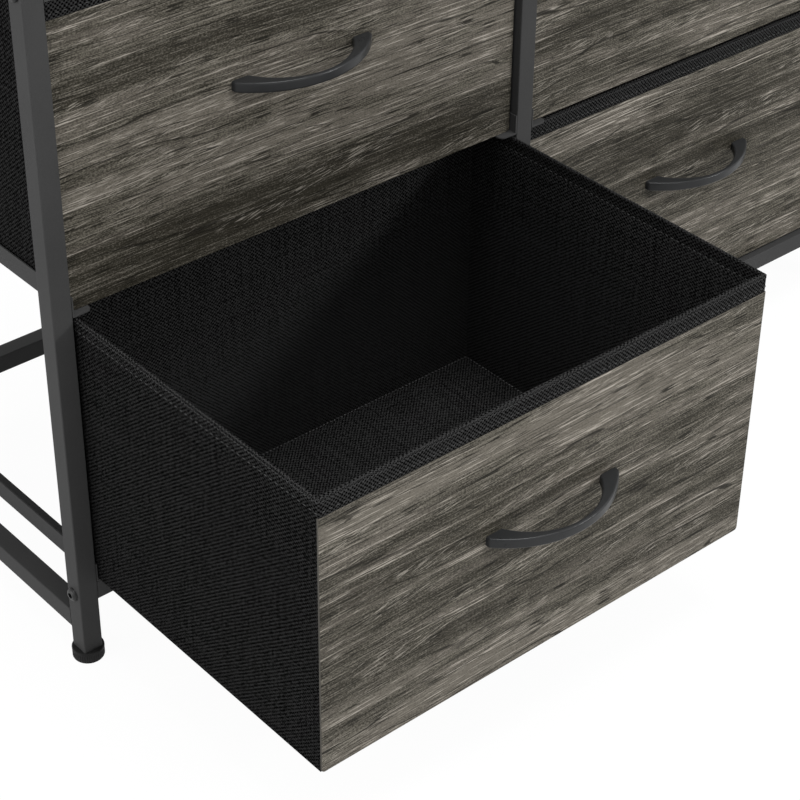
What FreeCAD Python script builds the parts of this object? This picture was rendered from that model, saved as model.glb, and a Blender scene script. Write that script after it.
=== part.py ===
import FreeCAD, Part
import math
import os
import Sketcher

# A free-standing dresser: a bolted frame of square steel tube carries eight fabric
# drawer bins, two columns of four, on angle runners. The four rows are two tiers of two
# rows, and a cross rail runs under each tier and over the last one.
#
# Millimetres, +Z up, +X to the right as seen by someone in front, +Y to the back.
# The origin is on the floor, under the axis of the front post between the columns.
# The bottom drawer of the left column stands open.

ROWS_PER_TIER = 2
TIERS = 2
ROWS = ROWS_PER_TIER * TIERS
FOOT_GROOVES = 12
# Shanks and the holes round them are hidden, so they are drawn with a few flats. Heads
# have more.
FLATS = {"shank": 8, "screw head": 12, "button head": 16, "hexagon": 6}

SIZES = [
    # tube frame
    ("post_size", 15.0, "outer side of the square steel tube"),
    ("tube_wall", 1.0, "wall of the square tube"),
    ("tube_bevel", 0.8, "bevel along the tube's corners"),
    ("column_pitch", 398.0, "from the centre of one post to the next, across"),
    ("frame_depth", 294.0, "front of the front posts to back of the rear posts"),
    ("base_rail_lift", 16.0, "lower end of a post to the base side rail"),
    ("cross_rail_lift", 42.2, "lower end of a post to the lowest cross rail"),
    ("bay_height", 216.4, "height of one drawer's bay, with its runners"),
    ("end_plate", 3.0, "threaded plate welded into each end of a cross rail"),
    # angle runners
    ("runner_leg", 15.0, "upright leg, welded to the posts"),
    ("runner_flange", 15.0, "flat leg, which carries the bin"),
    ("runner_sheet", 1.2, "thickness of the angle"),
    ("runner_round", 4.5, "corner radius at each end of the flat leg"),
    # frame bolts and joining studs
    ("bolt_size", 6.0, "diameter of bolts, studs and feet's threads"),
    ("thread_gap", 0.1, "thread hole's diameter over the bolt's"),
    ("shank_gap", 0.4, "plain hole's diameter over the bolt's"),
    ("bolt_head", 10.0, "diameter of the button head"),
    ("bolt_head_height", 3.0, "height of the button head"),
    ("bolt_head_slope", 1.7, "how far the button head's side leans in"),
    ("bolt_socket", 4.0, "hexagon socket, across flats"),
    ("bolt_socket_depth", 1.8, "depth of the hexagon socket"),
    ("bolt_reach", 12.0, "how far a bolt or stud goes past the post"),
    # levelling feet
    ("foot_height", 9.0, "floor to the lower end of a post"),
    ("foot_width", 23.0, "diameter of the foot's disc"),
    ("foot_lip", 1.8, "plain band above the disc's grooves"),
    ("foot_groove", 0.9, "depth of one grip groove"),
    ("foot_stud", 18.0, "length of the foot's threaded stud"),
    ("plug_length", 14.0, "threaded plug in the lower end of a post"),
    ("plug_gap", 0.1, "plug to tube wall, each side"),
    # top board
    ("board_thickness", 15.0, "thickness of the top board"),
    ("board_overhang", 3.0, "how far the board stands past the frame"),
    ("board_bevel", 0.8, "bevel along the board's upper edges"),
    ("board_screw", 3.5, "diameter of the wood screws"),
    ("board_screw_bite", 10.0, "how far a wood screw goes into the board"),
    ("board_screw_head", 7.0, "diameter of the wood screw's head"),
    ("board_screw_head_height", 1.2, "height of the wood screw's flat head"),
    # fabric bins
    ("side_gap", 2.2, "bin to post, each side"),
    ("rest_gap", 0.3, "bin to the runner under it"),
    ("bin_depth", 288.0, "front to back of a bin"),
    ("bin_height", 213.0, "height of a bin"),
    ("bin_wall", 3.0, "stiffened fabric wall at the sides and back"),
    ("bin_front", 4.0, "stiffened front wall with the panel in its recess"),
    ("bin_floor", 1.2, "fabric floor"),
    ("bin_round", 3.0, "radius of the upright corners"),
    ("rim_band", 12.5, "folded hem above the front panel"),
    ("panel_recess", 5.7, "front panel behind the front of the posts"),
    ("pulled_out", 250.0, "how far the open drawer stands out"),
    # front panel and floor board
    ("panel_thickness", 1.5, "thickness of the front panel"),
    ("panel_round", 2.5, "radius of the panel's lower corners"),
    ("panel_gap", 0.3, "panel to the hem above it"),
    ("floor_board", 2.0, "thickness of the loose floor board"),
    ("floor_board_gap", 1.0, "floor board to the bin's walls"),
    # bow handle
    ("handle_span", 114.0, "end to end"),
    ("handle_inner_span", 85.0, "between the feet"),
    ("handle_reach", 28.2, "panel to the front of the bow"),
    ("handle_bow", 24.6, "panel to the back of the bow, the finger room"),
    ("handle_shoulder", 3.0, "upright end of each foot"),
    ("handle_height", 7.5, "height of the bar"),
    ("handle_drop", 84.5, "panel's top edge to the middle of the handle"),
    ("handle_screws", 96.0, "from one screw to the other"),
    ("handle_screw", 3.9, "handle screws, over the thread"),
    ("pierced_gap", 0.05, "hole pierced in the cloth, over the screw's diameter"),
    ("handle_screw_bite", 7.0, "how far a screw goes into the handle"),
    ("handle_screw_head", 8.0, "diameter of the screw head"),
    ("handle_screw_head_height", 2.4, "height of the screw head"),
]

doc = FreeCAD.newDocument("fabric_drawer_dresser")
sheet = doc.addObject("Spreadsheet::Sheet", "Size")
for row, (alias, amount, meaning) in enumerate(SIZES, start=1):
    sheet.set("A%d" % row, meaning)
    sheet.set("B%d" % row, str(amount))
    sheet.setAlias("B%d" % row, alias)
doc.recompute()

# Lengths that several pieces share, as expressions on the sheet.
REAR = "(Size.frame_depth - Size.post_size)"
POST_LENGTH = ("(Size.cross_rail_lift + %d * Size.post_size + %d * Size.bay_height)"
               % (TIERS + 1, ROWS))
TIER_PITCH = "(Size.post_size + %d * Size.bay_height)" % ROWS_PER_TIER
COLUMN_CLEAR = "(Size.column_pitch - Size.post_size)"
THREAD_HOLE = "(Size.bolt_size + Size.thread_gap)"
SHANK_HOLE = "(Size.bolt_size + Size.shank_gap)"
BIN_WIDTH = "(%s - 2 * Size.side_gap)" % COLUMN_CLEAR
PANEL_HEIGHT = "(Size.bin_height - Size.rim_band - Size.panel_gap)"
HANDLE_LEVEL = "(%s - Size.handle_drop)" % PANEL_HEIGHT
SCREW_HOLE = "(Size.handle_screw + Size.shank_gap)"
PIERCED_HOLE = "(Size.handle_screw + Size.pierced_gap)"


def rail_level(tier):
    """Underside of the cross rail under a tier, counted from 0; TIERS is the top one."""
    return "(Size.foot_height + Size.cross_rail_lift + %d * %s)" % (tier, TIER_PITCH)


def runner_level(row):
    """Underside of a row's runners; rows count from 0 at the bottom."""
    tier = row // ROWS_PER_TIER
    return ("(Size.foot_height + Size.cross_rail_lift + %d * Size.post_size"
            " + %d * Size.bay_height)" % (tier + 1, row))


def value(expression):
    """The number that an expression on the sheet gives."""
    return float(sheet.evalExpression(expression))


# ---------------------------------------------------------------- modelling helpers

def new_body(label):
    """An empty body whose label is the sub-part's name."""
    body = doc.addObject("PartDesign::Body", label)
    body.Label = label
    return body


def origin_part(body, role):
    """One plane or axis of the body's own origin."""
    return next(part for part in body.Origin.OriginFeatures if part.Role == role)


def new_sketch(body, plane, lift="0"):
    """A sketch on one of the body's own planes, lifted off it along its normal."""
    sketch = body.newObject("Sketcher::SketchObject", "Sketch")
    sketch.AttachmentSupport = [(origin_part(body, plane), "")]
    sketch.MapMode = "FlatFace"
    sketch.setExpression("AttachmentOffset.Base.z", lift)
    return sketch


def dimension(sketch, kind, ends, expression):
    """Adds a dimension to a sketch and ties it to the sheet."""
    index = sketch.addConstraint(Sketcher.Constraint(kind, *ends, value(expression)))
    sketch.setExpression("Constraints[%d]" % index, expression)


def pin_point(sketch, line, end, across, up):
    """Ties one end of a line, or a circle's centre, to a place on the sketch."""
    dimension(sketch, "DistanceX", (-1, 1, line, end), across)
    dimension(sketch, "DistanceY", (-1, 1, line, end), up)


def outline(body, plane, corners, lift="0"):
    """A closed outline of straight lines through corners given as expressions."""
    sketch = new_sketch(body, plane, lift)
    points = [FreeCAD.Vector(value(across), value(up), 0) for across, up in corners]
    for number, point in enumerate(points):
        following = points[(number + 1) % len(points)]
        sketch.addGeometry(Part.LineSegment(point, following))
    for number, (across, up) in enumerate(corners):
        previous = (number - 1) % len(corners)
        sketch.addConstraint(Sketcher.Constraint("Coincident", previous, 2, number, 1))
        pin_point(sketch, number, 1, across, up)
    return sketch


def rectangle(body, plane, left, right, low, high, lift="0"):
    """A rectangle between two places across and two places up."""
    corners = [(left, low), (right, low), (right, high), (left, high)]
    return outline(body, plane, corners, lift)


def square(side):
    """The sides of a square section round the middle of a sketch plane."""
    half = "%s / 2" % side
    return "-" + half, half, "-" + half, half


def ring_point(radius, degrees, across="0", up="0"):
    """A point on a circle round a place on the sketch, as two expressions."""
    angle = math.radians(degrees)
    return ("%s + (%s) * %.6f" % (across, radius, math.cos(angle)),
            "%s + (%s) * %.6f" % (up, radius, math.sin(angle)))


def polygon(width, form="shank", across="0", up="0"):
    """The corners of a regular polygon that is as wide as given, flat to flat."""
    flats = FLATS[form]
    radius = "(%s) * %.6f" % (width, 0.5 / math.cos(math.pi / flats))
    return [ring_point(radius, 360 * (corner + 0.5) / flats, across, up)
            for corner in range(flats)]


def pad(body, sketch, length, symmetric=False, backwards=False, lean=None):
    """Adds the sketched section along its normal, with sides that may lean inwards."""
    feature = body.newObject("PartDesign::Pad", "Pad")
    feature.Profile = sketch
    feature.SideType = "Symmetric" if symmetric else "One side"
    feature.Reversed = backwards
    feature.setExpression("Length", length)
    if lean:
        feature.setExpression("TaperAngle", "-atan((%s) / (%s))" % (lean, length))
    doc.recompute()
    return feature


def pocket(body, sketch, length=None, symmetric=False, forwards=False):
    """Cuts the sketched section: through everything, or by a length.

    A one-sided cut goes against the sketch's normal unless it is forwards.
    """
    before = body.Shape.Volume
    feature = body.newObject("PartDesign::Pocket", "Pocket")
    feature.Profile = sketch
    feature.SideType = "Symmetric" if symmetric else "One side"
    feature.Reversed = forwards
    if length is None:
        feature.Type = "ThroughAll"
    else:
        feature.setExpression("Length", length)
    doc.recompute()
    if body.Shape.Volume >= before:
        raise RuntimeError("a pocket of %s cuts nothing" % body.Label)
    return feature


def dress(body, feature, kind, amount, chosen):
    """Rounds or bevels the edges of a feature whose middle and direction a test picks."""
    names = []
    for number, edge in enumerate(feature.Shape.Edges, start=1):
        middle = edge.valueAt((edge.FirstParameter + edge.LastParameter) / 2)
        along = edge.tangentAt((edge.FirstParameter + edge.LastParameter) / 2)
        if chosen(middle, along):
            names.append("Edge%d" % number)
    dressing = body.newObject("PartDesign::" + kind, kind)
    dressing.Base = (feature, names)
    dressing.setExpression("Radius" if kind == "Fillet" else "Size", amount)
    doc.recompute()
    return dressing


def place(item, across="0", back="0", up="0", turn=0):
    """Puts a piece at its place in the dresser, turned about +Z."""
    spin = FreeCAD.Rotation(FreeCAD.Vector(0, 0, 1), turn)
    item.Placement = FreeCAD.Placement(FreeCAD.Vector(), spin)
    item.setExpression("Placement.Base.x", across)
    item.setExpression("Placement.Base.y", back)
    item.setExpression("Placement.Base.z", up)


nodes = []


def keep(item):
    """Lists a finished sub-part for the checks and the export."""
    nodes.append(item)
    return item


def group(label, pattern_piece, spots):
    """A sub-part of several equal solids: one copy of the pattern piece at each spot."""
    copies = []
    for spot in spots:
        copy = doc.addObject("App::Link", "Copy")
        copy.LinkedObject = pattern_piece
        place(copy, *spot)
        copies.append(copy)
    node = doc.addObject("Part::Compound", label)
    node.Label = label
    node.Links = copies
    return keep(node)


def tube(body, plane, length, symmetric):
    """The outside of a square steel tube, with bevelled corners."""
    outer = rectangle(body, plane, *square("Size.post_size"))
    bar = pad(body, outer, length, symmetric)
    normal = {"XY_Plane": "z", "XZ_Plane": "y", "YZ_Plane": "x"}[plane]
    dress(body, bar, "Chamfer", "Size.tube_bevel",
          lambda middle, along: abs(getattr(along, normal)) > 0.99)


def hollow(body, plane, length=None):
    """Takes the inside out of a tube, on both sides of its sketch plane."""
    inner = rectangle(body, plane, *square("(Size.post_size - 2 * Size.tube_wall)"))
    pocket(body, inner, length, symmetric=True)


# ---------------------------------------------------------------- posts
# Six equal uprights. A bolt or stud crosses each one at every cross rail, and the
# threaded plug of the levelling foot closes its lower end.

FRAMES = [("left", "-Size.column_pitch"), ("middle", "0"), ("right", "Size.column_pitch")]
FACES = [("front", "0"), ("rear", REAR)]


def make_post(label, across, back):
    body = new_body(label)
    tube(body, "XY_Plane", POST_LENGTH, symmetric=False)
    hollow(body, "XY_Plane")
    lowest = "(Size.cross_rail_lift + Size.post_size / 2)"
    holes = pocket(body, outline(body, "YZ_Plane", polygon(SHANK_HOLE, up=lowest)),
                   symmetric=True)
    column = body.newObject("PartDesign::LinearPattern", "Tiers")
    column.Originals = [holes]
    column.Direction = (origin_part(body, "Z_Axis"), [""])
    column.Mode = "Spacing"
    column.Occurrences = TIERS + 1
    column.setExpression("Offset", TIER_PITCH)
    body.Tip = column
    place(body, across, back, "Size.foot_height")
    return keep(body)


for side, across in FRAMES:
    for face, back in FACES:
        make_post("%s_%s_post" % (side, face), across, back)

# ---------------------------------------------------------------- side rails
# Short tubes welded between the front and the rear post of each side frame: one near
# the floor and one under the top board.

side_rail = new_body("side_rail_pattern")
tube(side_rail, "XZ_Plane", "(Size.frame_depth - 2 * Size.post_size)", symmetric=True)
hollow(side_rail, "XZ_Plane")

group("base_side_rails", side_rail,
      [(across, REAR + " / 2", "Size.foot_height + Size.base_rail_lift + Size.post_size / 2")
       for _, across in FRAMES])
group("top_side_rails", side_rail,
      [(across, REAR + " / 2", rail_level(TIERS) + " + Size.post_size / 2")
       for _, across in FRAMES])

# ---------------------------------------------------------------- cross rails
# Tubes between the side frames, closed at each end by a welded plate with a thread.
# The top ones also have a plain hole for the screw that holds the board.

def make_cross_rail(label):
    body = new_body(label)
    tube(body, "YZ_Plane", COLUMN_CLEAR, symmetric=True)
    hollow(body, "YZ_Plane", "(%s - 2 * Size.end_plate)" % COLUMN_CLEAR)
    pocket(body, outline(body, "YZ_Plane", polygon(THREAD_HOLE)), symmetric=True)
    return body


cross_rail = make_cross_rail("cross_rail_pattern")
top_cross_rail = make_cross_rail("top_cross_rail_pattern")
pocket(top_cross_rail,
       outline(top_cross_rail, "XY_Plane", polygon("Size.board_screw + Size.shank_gap")),
       symmetric=True)

COLUMNS = [("left", "-Size.column_pitch / 2"), ("right", "Size.column_pitch / 2")]
for tier, label in enumerate(["bottom_cross_rails", "middle_cross_rails", "top_cross_rails"]):
    group(label, top_cross_rail if tier == TIERS else cross_rail,
          [(across, back, rail_level(tier) + " + Size.post_size / 2")
           for _, across in COLUMNS for _, back in FACES])

# ---------------------------------------------------------------- runners
# Steel angles along the sides of each bay. The upright leg is welded to the inner
# faces of two posts and the flat leg points into the bay, with rounded corners.

runner = new_body("runner_pattern")
angle = pad(runner,
            rectangle(runner, "XZ_Plane", "0", "Size.runner_flange", "0", "Size.runner_leg"),
            "Size.frame_depth", backwards=True)
pocket(runner,
       rectangle(runner, "XZ_Plane", "Size.runner_sheet", "Size.runner_flange + 1",
                 "Size.runner_sheet", "Size.runner_leg + 1"))
tip = value("Size.runner_flange")
dress(runner, runner.Tip, "Fillet", "Size.runner_round",
      lambda middle, along: abs(along.z) > 0.99 and abs(middle.x - tip) < 0.01)


def runner_spots(frames, turned):
    """One runner for each row on one face of the given frames.

    A turned one points its flange to the left, and its own back end becomes the front.
    """
    edge = " - Size.post_size / 2" if turned else " + Size.post_size / 2"
    back = REAR + " + Size.post_size / 2" if turned else "-Size.post_size / 2"
    turn = 180 if turned else 0
    return [(across + edge, back, runner_level(row), turn)
            for across in frames for row in range(ROWS)]


left_frame, middle_frame, right_frame = [across for _, across in FRAMES]
group("left_frame_runners", runner, runner_spots([left_frame], turned=False))
group("middle_frame_runners", runner,
      runner_spots([middle_frame], turned=True) + runner_spots([middle_frame], turned=False))
group("right_frame_runners", runner, runner_spots([right_frame], turned=True))

# ---------------------------------------------------------------- levelling feet
# A ribbed disc on a threaded stud, and the plug in the post that the stud turns in.

foot = new_body("foot_pattern")
rim, root = "Size.foot_width / 2", "(Size.foot_width / 2 - Size.foot_groove)"
tooth_ends = [-0.36, 0.36]
grip = [ring_point(radius, 360 * (tooth + part) / FOOT_GROOVES)
        for tooth in range(FOOT_GROOVES)
        for part, radius in [(tooth_ends[0], rim), (tooth_ends[1], rim), (0.5, root)]]
band = [ring_point(rim, 360 * (tooth + part) / FOOT_GROOVES)
        for tooth in range(FOOT_GROOVES) for part in tooth_ends]
pad(foot, outline(foot, "XY_Plane", grip, lift="-Size.foot_height"),
    "Size.foot_height - Size.foot_lip")
pad(foot, outline(foot, "XY_Plane", band, lift="-Size.foot_lip"), "Size.foot_lip")
pad(foot, outline(foot, "XY_Plane", polygon("Size.bolt_size")), "Size.foot_stud")

plug = new_body("plug_pattern")
plug_side = "(Size.post_size - 2 * Size.tube_wall - 2 * Size.plug_gap)"
pad(plug, rectangle(plug, "XY_Plane", *square(plug_side)), "Size.plug_length")
pocket(plug, outline(plug, "XY_Plane", polygon(THREAD_HOLE)), symmetric=True)

post_ends = [(across, back, "Size.foot_height") for _, across in FRAMES for _, back in FACES]
group("levelling_feet", foot, post_ends)
group("foot_plugs", plug, post_ends)

# ---------------------------------------------------------------- bolts and studs
# Button-head bolts hold the outer posts to the cross rails' end plates. At the middle
# posts a stud goes through, into the rail on each side.

bolt = new_body("bolt_pattern")
pad(bolt, outline(bolt, "YZ_Plane", polygon("Size.bolt_head", "button head")),
    "Size.bolt_head_height", backwards=True, lean="Size.bolt_head_slope")
pocket(bolt,
       outline(bolt, "YZ_Plane", polygon("Size.bolt_socket", "hexagon"), lift="-Size.bolt_head_height"),
       "Size.bolt_socket_depth", forwards=True)
pad(bolt, outline(bolt, "YZ_Plane", polygon("Size.bolt_size")),
    "Size.post_size + Size.bolt_reach")

joining_stud = new_body("stud_pattern")
pad(joining_stud, outline(joining_stud, "YZ_Plane", polygon("Size.bolt_size")),
    "Size.post_size + 2 * Size.bolt_reach", symmetric=True)

rail_middles = [rail_level(tier) + " + Size.post_size / 2" for tier in range(TIERS + 1)]
group("frame_bolts", bolt,
      [(left_frame + " - Size.post_size / 2", back, up, 0)
       for _, back in FACES for up in rail_middles]
      + [(right_frame + " + Size.post_size / 2", back, up, 180)
         for _, back in FACES for up in rail_middles])
group("joining_studs", joining_stud,
      [(middle_frame, back, up) for _, back in FACES for up in rail_middles])

# ---------------------------------------------------------------- top board
# A plain board over the frame, held from below by screws through the top cross rails.

TOP = "(Size.foot_height + %s)" % POST_LENGTH
top_board = new_body("top_board")
half_width = "(Size.column_pitch + Size.post_size / 2 + Size.board_overhang)"
slab = pad(top_board,
           rectangle(top_board, "XY_Plane", "-" + half_width, half_width,
                     "-Size.post_size / 2 - Size.board_overhang",
                     REAR + " + Size.post_size / 2 + Size.board_overhang"),
           "Size.board_thickness")
dress(top_board, slab, "Chamfer", "Size.board_bevel",
      lambda middle, along: middle.z > 1 and abs(along.z) < 0.01)
screw_spots = [(across, back) for _, across in COLUMNS for _, back in FACES]
for across, back in screw_spots:
    pocket(top_board,
           outline(top_board, "XY_Plane",
                   polygon("Size.board_screw + Size.thread_gap", across=across, up=back)),
           "Size.board_screw_bite + 1", forwards=True)
place(top_board, up=TOP)
keep(top_board)

wood_screw = new_body("wood_screw_pattern")
pad(wood_screw, outline(wood_screw, "XY_Plane", polygon("Size.board_screw_head", "screw head")),
    "Size.board_screw_head_height", backwards=True)
pad(wood_screw, outline(wood_screw, "XY_Plane", polygon("Size.board_screw")),
    "Size.post_size + Size.board_screw_bite")
group("top_board_screws", wood_screw,
      [(across, back, rail_level(TIERS)) for across, back in screw_spots])

# ---------------------------------------------------------------- drawers
# Each drawer is a fabric bin with a stiff front, a thin printed panel let into that
# front under the hem, a loose floor board, and a bow handle with two screws from inside.
# Every piece is drawn with the drawer's front plane at Y 0 and its underside at Z 0.

SCREWS_ACROSS = ["-Size.handle_screws / 2", "Size.handle_screws / 2"]


def screw_holes(body, width, up, depth, forwards=False):
    """The two holes for the handle's screws, cut from the front plane."""
    for across in SCREWS_ACROSS:
        pocket(body, outline(body, "XZ_Plane", polygon(width, across=across, up=up)),
               depth, forwards=forwards)


def make_bin(label):
    body = new_body(label)
    half = BIN_WIDTH + " / 2"
    block = pad(body, rectangle(body, "XY_Plane", "-" + half, half, "0", "Size.bin_depth"),
                "Size.bin_height")
    dress(body, block, "Fillet", "Size.bin_round", lambda middle, along: abs(along.z) > 0.99)
    inner_half = "(%s - Size.bin_wall)" % half
    pocket(body,
           rectangle(body, "XY_Plane", "-" + inner_half, inner_half, "Size.bin_front",
                     "Size.bin_depth - Size.bin_wall", lift="Size.bin_floor"),
           forwards=True)
    pocket(body,
           rectangle(body, "XZ_Plane", "-" + half, half, "0", "Size.bin_height - Size.rim_band"),
           "Size.panel_thickness")
    screw_holes(body, PIERCED_HOLE, HANDLE_LEVEL, "Size.bin_front")
    return body


def make_front_panel(label):
    body = new_body(label)
    half = BIN_WIDTH + " / 2"
    sheet_of_board = pad(body, rectangle(body, "XZ_Plane", "-" + half, half, "0", PANEL_HEIGHT),
                         "Size.panel_thickness", backwards=True)
    dress(body, sheet_of_board, "Fillet", "Size.panel_round",
          lambda middle, along: abs(along.y) > 0.99 and middle.z < 0.01)
    screw_holes(body, SCREW_HOLE, HANDLE_LEVEL, "Size.panel_thickness")
    return body


def make_floor_board(label):
    body = new_body(label)
    half = "(%s / 2 - Size.bin_wall - Size.floor_board_gap)" % BIN_WIDTH
    pad(body, rectangle(body, "XY_Plane", "-" + half, half,
                        "Size.bin_front + Size.floor_board_gap",
                        "Size.bin_depth - Size.bin_wall - Size.floor_board_gap",
                        lift="Size.bin_floor"),
        "Size.floor_board")
    return body


def bow_radius(half_span, rise):
    """Radius of the arc that spans twice half_span and rises by rise."""
    return "((%s)^2 + (%s)^2) / (2 * (%s))" % (half_span, rise, rise)


def bow_arc(half_span, foot, reach):
    """The front arc of a bow from its right foot to its left one, as drawn at first."""
    return Part.Arc(FreeCAD.Vector(value(half_span), -value(foot), 0),
                    FreeCAD.Vector(0, -value(reach), 0),
                    FreeCAD.Vector(-value(half_span), -value(foot), 0))


def make_handle(label):
    """A crescent: a flat outer arc on short shoulders and a rounder inner arc."""
    body = new_body(label)
    outer, inner = "(Size.handle_span / 2)", "(Size.handle_inner_span / 2)"
    sketch = new_sketch(body, "XY_Plane")
    right, left = value(outer), -value(outer)
    inner_right, inner_left = value(inner), -value(inner)
    shoulder = value("Size.handle_shoulder")
    vector = FreeCAD.Vector
    sketch.addGeometry(bow_arc(outer, "Size.handle_shoulder", "Size.handle_reach"))
    sketch.addGeometry(Part.LineSegment(vector(left, -shoulder, 0), vector(left, 0, 0)))
    sketch.addGeometry(Part.LineSegment(vector(left, 0, 0), vector(inner_left, 0, 0)))
    sketch.addGeometry(bow_arc(inner, "0", "Size.handle_bow"))
    sketch.addGeometry(Part.LineSegment(vector(inner_right, 0, 0), vector(right, 0, 0)))
    sketch.addGeometry(Part.LineSegment(vector(right, 0, 0), vector(right, -shoulder, 0)))
    # An arc drawn by three points runs anticlockwise, so its first end is the left one.
    front, left_end, left_foot, back, right_foot, right_end = range(6)
    joins = [(front, 1, left_end, 1), (left_end, 2, left_foot, 1), (left_foot, 2, back, 1),
             (back, 2, right_foot, 1), (right_foot, 2, right_end, 1), (right_end, 2, front, 2)]
    for join in joins:
        sketch.addConstraint(Sketcher.Constraint("Coincident", *join))
    pin_point(sketch, left_end, 1, "-" + outer, "-Size.handle_shoulder")
    pin_point(sketch, left_foot, 1, "-" + outer, "0")
    pin_point(sketch, left_foot, 2, "-" + inner, "0")
    pin_point(sketch, right_foot, 1, inner, "0")
    pin_point(sketch, right_end, 1, outer, "0")
    pin_point(sketch, right_end, 2, outer, "-Size.handle_shoulder")
    dimension(sketch, "Radius", (front,),
              bow_radius(outer, "Size.handle_reach - Size.handle_shoulder"))
    dimension(sketch, "Radius", (back,), bow_radius(inner, "Size.handle_bow"))
    pad(body, sketch, "Size.handle_height", symmetric=True)
    screw_holes(body, "Size.handle_screw + Size.thread_gap", "0",
                "Size.handle_screw_bite + 0.5", forwards=True)
    return body


handle_screw = new_body("handle_screw_pattern")
pad(handle_screw,
    outline(handle_screw, "XZ_Plane", polygon("Size.handle_screw"), lift="-Size.bin_front"),
    "Size.bin_front + Size.handle_screw_bite")
pad(handle_screw,
    outline(handle_screw, "XZ_Plane", polygon("Size.handle_screw_head", "screw head"),
            lift="-Size.bin_front"),
    "Size.handle_screw_head_height", backwards=True)


def drawer_place(across, row, pulled="0"):
    """Where a drawer's own origin stands: front plane, middle, underside."""
    back = "(-Size.post_size / 2 + Size.panel_recess - %s)" % pulled
    up = "(%s + Size.runner_sheet + Size.rest_gap)" % runner_level(row)
    return across, back, up


for column, across in COLUMNS:
    for row in range(ROWS):
        is_open = column == "left" and row == 0
        x, y, z = drawer_place(across, row, "Size.pulled_out" if is_open else "0")
        name = "%s_%d" % (column, row + 1)
        place(keep(make_bin("bin_" + name)), x, y, z)
        place(keep(make_front_panel("front_panel_" + name)), x, y, z)
        place(keep(make_floor_board("floor_board_" + name)), x, y, z)
        place(keep(make_handle("handle_" + name)), x, y, "%s + %s" % (z, HANDLE_LEVEL))
        group("handle_screws_" + name, handle_screw,
              [("%s + %s" % (x, offset), y, "%s + %s" % (z, HANDLE_LEVEL))
               for offset in SCREWS_ACROSS])

# ---------------------------------------------------------------- checks and export

doc.recompute()
for item in doc.Objects:
    if "Invalid" in item.State or "Error" in item.State:
        raise RuntimeError("%s did not compute" % item.Label)
os.makedirs("parts", exist_ok=True)
for node in nodes:
    if node.Shape.isNull() or not node.Shape.isValid():
        raise RuntimeError("%s has no valid shape" % node.Label)
for node in nodes:
    node.Shape.exportStep(os.path.join("parts", node.Label + ".step"))
print("%d sub-parts written" % len(nodes))
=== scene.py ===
import math

import bmesh
import bpy
from mathutils import Matrix, Vector


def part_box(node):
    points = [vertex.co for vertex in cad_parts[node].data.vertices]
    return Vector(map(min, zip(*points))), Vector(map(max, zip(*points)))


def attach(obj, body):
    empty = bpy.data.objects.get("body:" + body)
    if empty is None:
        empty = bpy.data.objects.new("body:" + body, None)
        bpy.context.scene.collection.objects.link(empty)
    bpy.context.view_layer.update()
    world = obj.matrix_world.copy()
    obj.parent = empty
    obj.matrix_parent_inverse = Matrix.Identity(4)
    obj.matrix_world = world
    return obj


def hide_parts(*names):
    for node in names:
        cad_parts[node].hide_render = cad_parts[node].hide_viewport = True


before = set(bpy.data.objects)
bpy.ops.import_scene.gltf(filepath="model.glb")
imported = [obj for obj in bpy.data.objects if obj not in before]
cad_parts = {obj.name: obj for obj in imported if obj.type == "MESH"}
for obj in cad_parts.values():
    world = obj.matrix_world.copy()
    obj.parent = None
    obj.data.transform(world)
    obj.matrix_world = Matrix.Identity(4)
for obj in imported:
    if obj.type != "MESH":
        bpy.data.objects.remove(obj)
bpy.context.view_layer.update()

# ------------------------------------------------------------------ posts
# Six uprights of square steel tube, 15 mm outside with a 1 mm wall, cold drawn with small
# round corners and powder coated a matt black-grey. Side rails and runners are welded on.

SCALE_TO_MM = 1000.0
X, Y, Z = range(3)
NEAR = 0.01        # places this close, in millimetres, count as the same
ALONG = 0.999      # least share of an edge's length along the axis that it runs along
SQUARE_ON = 0.9    # least share of a face's normal along the axis that it looks along
TUBE_WALL = 1.0
TUBE_ROUND = 0.9


def node_box(node):
    """A node's lowest and highest corners, in millimetres."""
    return [corner * SCALE_TO_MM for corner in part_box(node)]


def runs_along(edge, axis):
    """Whether an edge runs along one axis."""
    way = edge.verts[1].co - edge.verts[0].co
    return abs(way[axis]) > ALONG * way.length


def rounded(bm, edges, radius, steps=3):
    """Rounds edges of a mesh."""
    bmesh.ops.bevel(bm, geom=list(edges), offset=radius, segments=steps, profile=0.5,
                    affect="EDGES", material=-1, clamp_overlap=True)


def block(low, high):
    """A plain box between two corners, to be shaped further."""
    bm = bmesh.new()
    size = Vector(high) - Vector(low)
    place = Matrix.LocRotScale((Vector(low) + Vector(high)) / 2, None, size)
    bmesh.ops.create_cube(bm, size=1.0, matrix=place)
    bm.normal_update()
    return bm


def gathered(parts):
    """One mesh made of several, which are used up."""
    whole = bmesh.new()
    for part in parts:
        carrier = bpy.data.meshes.new("carrier")
        part.to_mesh(carrier)
        part.free()
        whole.from_mesh(carrier)
        bpy.data.meshes.remove(carrier)
    return whole


def square_tube(low, high, axis):
    """A round-cornered square tube between two corners, open at both ends."""
    bm = block(low, high)
    ends = [face for face in bm.faces if abs(face.normal[axis]) > SQUARE_ON]
    bmesh.ops.delete(bm, geom=ends, context="FACES_ONLY")
    rounded(bm, [edge for edge in bm.edges if runs_along(edge, axis)], TUBE_ROUND)
    bmesh.ops.solidify(bm, geom=bm.faces[:], thickness=TUBE_WALL)
    return bm


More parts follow.
